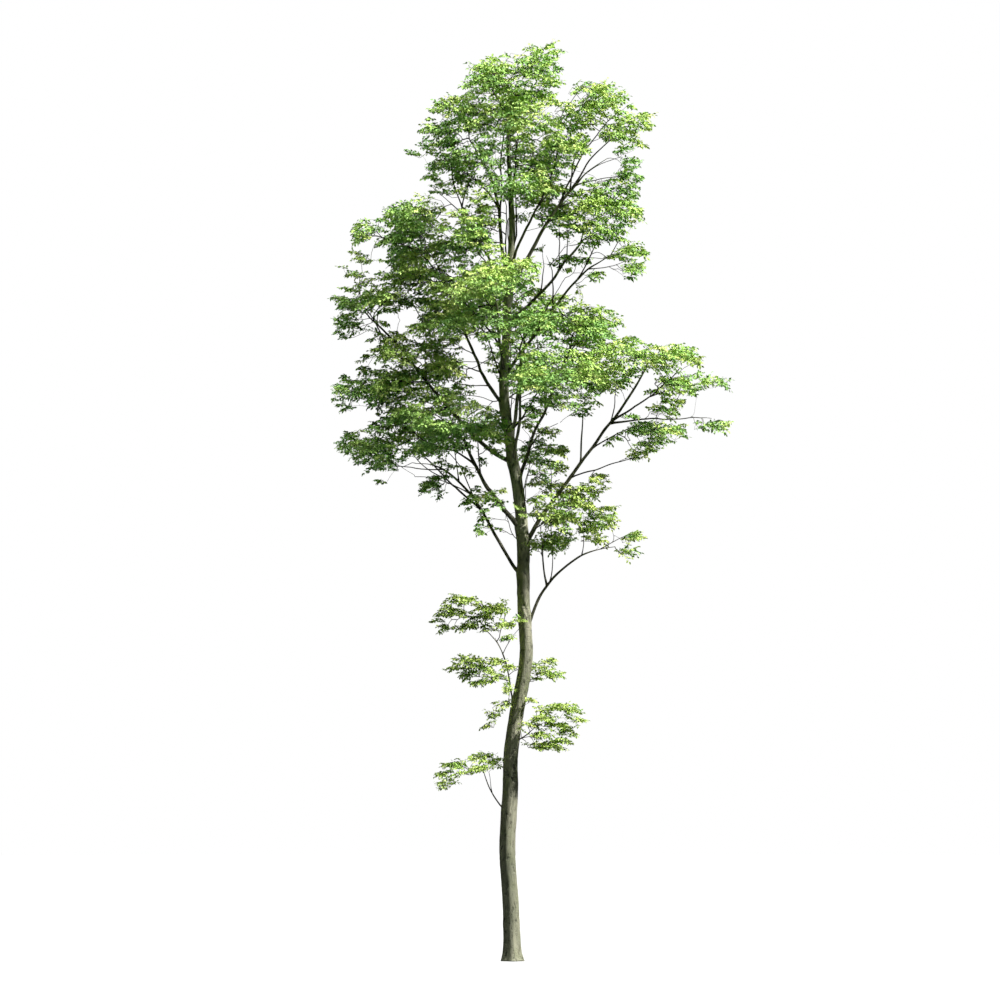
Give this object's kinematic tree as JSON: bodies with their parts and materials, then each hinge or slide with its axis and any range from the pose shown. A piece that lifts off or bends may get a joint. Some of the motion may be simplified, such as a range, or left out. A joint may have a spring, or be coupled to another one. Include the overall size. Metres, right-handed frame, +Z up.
{
  "type": "tall broadleaf tree",
  "caption": "Tall slender broadleaf tree in full summer leaf: long bare winding trunk, tufts of low twigs, arching boughs and a narrow open crown in layered masses.",
  "frame": {"origin": "middle of the flat cut under the trunk, at ground level", "axes": "+Z up along the trunk, +X to the right as seen from the front, +Y to the back"},
  "size_m": [7.5675, 5.8048, 17.0762],
  "materials": {
    "bark": "smooth grey-green bark, dull",
    "young_bark": "smooth darker bark of the boughs, dull",
    "foliage": "soft-sheened green leaves"
  },
  "bodies": {
    "root": {"trunk": "bark", "bough_left_low": "young_bark", "bough_left_main": "young_bark", "bough_left_long": "young_bark", "bough_left_high": "young_bark", "bough_top_left": "young_bark", "bough_right_low": "young_bark", "bough_right_fork": "young_bark", "bough_right_main": "young_bark", "bough_right_hanger": "young_bark", "bough_right_inner": "young_bark", "bough_right_upper": "young_bark", "bough_upper_right": "young_bark", "bough_top_right": "young_bark", "bough_top_centre": "young_bark", "bough_front": "young_bark", "bough_centre_front": "young_bark", "bough_back": "young_bark", "bough_low_left": "young_bark", "bough_low_right": "young_bark", "bough_low_left_foot": "young_bark", "mass_crown_tip": "foliage", "mass_crown_top_left": "foliage", "mass_crown_front": "foliage", "mass_crown_back": "foliage", "mass_upper_left_high": "foliage", "mass_upper_left_low": "foliage", "mass_upper_right_high": "foliage", "mass_upper_right_far": "foliage", "mass_upper_centre_right": "foliage", "mass_upper_right_low": "foliage", "mass_right_low_tip": "foliage", "mass_left_shoulder": "foliage", "mass_left_inner_high": "foliage", "mass_left_outer": "foliage", "mass_left_mid_high": "foliage", "mass_centre_front_high": "foliage", "mass_left_inner_mid": "foliage", "mass_left_mid": "foliage", "mass_left_inner_back": "foliage", "mass_left_low_shelf": "foliage", "mass_left_low_far": "foliage", "mass_left_hanging": "foliage", "mass_left_under": "foliage", "mass_centre_back_mid": "foliage", "mass_right_mid_high": "foliage", "mass_centre_front_low": "foliage", "mass_right_mid": "foliage", "mass_right_outer": "foliage", "mass_right_far": "foliage", "mass_right_shelf": "foliage", "mass_centre_right_low": "foliage", "mass_right_under": "foliage", "mass_right_under_tip": "foliage", "mass_low_left_high": "foliage", "mass_low_left_mid": "foliage", "mass_low_left_under": "foliage", "mass_low_right_high": "foliage", "mass_low_right": "foliage", "mass_low_left_foot": "foliage"}
  },
  "joints": []
}
